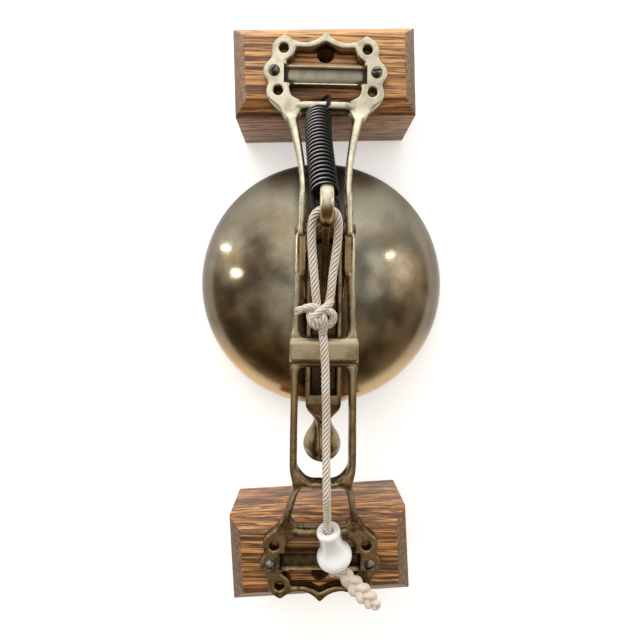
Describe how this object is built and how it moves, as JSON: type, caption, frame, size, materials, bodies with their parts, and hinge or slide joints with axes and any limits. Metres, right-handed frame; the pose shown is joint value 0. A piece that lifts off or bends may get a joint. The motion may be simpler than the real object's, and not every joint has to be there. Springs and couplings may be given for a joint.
{
  "type": "trolley bell",
  "caption": "Streetcar signal bell: domed brass gong under a cast bridge with shield feet on oak blocks; a cord turns a sprung lever that swings a pear-headed hammer onto the gong.",
  "frame": {"origin": "middle of the bell's length and width, on the plane that both oak blocks stand on", "axes": "+Z from the blocks towards the bridge, +Y towards the foot that holds the spring, +X along the pivot pin"},
  "size_m": [0.206, 0.449, 0.1337],
  "materials": {
    "cast_brass": "worn satin casting",
    "gong_brass": "dark antique, softly polished",
    "dark_brass": "brown patina",
    "dark_steel": "dull",
    "screw_steel": "worn",
    "spring_black": "oiled black",
    "leather": "plain",
    "oak": "waxed",
    "cotton_cord": "twisted cotton",
    "porcelain": "glossy white glaze"
  },
  "bodies": {
    "bell": {"frame": "cast_brass", "top_block": "oak", "bottom_block": "oak", "top_screw_left": "screw_steel", "top_screw_right": "screw_steel", "bottom_screw_left": "screw_steel", "bottom_screw_right": "screw_steel", "gong": "gong_brass", "gong_pad": "leather", "inner_pad": "leather", "inner_washer": "dark_steel", "gong_bolt": "dark_steel", "pivot_pin": "dark_steel", "left_washer": "dark_steel", "right_washer": "dark_steel", "return_spring": "spring_black"},
    "striker": {"pull_lever": "dark_brass", "hammer_arm": "dark_brass", "hammer_head": "dark_brass", "tongue_rivet": "dark_steel"},
    "cord": {"rope_loop": "cotton_cord", "loop_knot": "cotton_cord", "rope_fall": "cotton_cord", "pull_knob": "porcelain", "stopper_knot": "cotton_cord", "rope_tail": "cotton_cord"}
  },
  "joints": [
    {"name": "lever_turn", "type": "hinge", "parent": "bell", "child": "striker", "pos_m": [0, 0.0585, 0.097], "axis": [1, 0, 0], "range_deg": [0, 14.7], "stiffness_Nm_per_rad": 1.5, "springref_deg": -22.92, "deforming": ["return_spring"]},
    {"name": "cord_pull", "type": "slide", "parent": "bell", "child": "cord", "axis": [0, -1, 0], "range_m": [0, 0.0066]}
  ],
  "couplings": [
    {"joint": "cord_pull", "follows": "lever_turn", "m_per_rad": 0.0251}
  ]
}
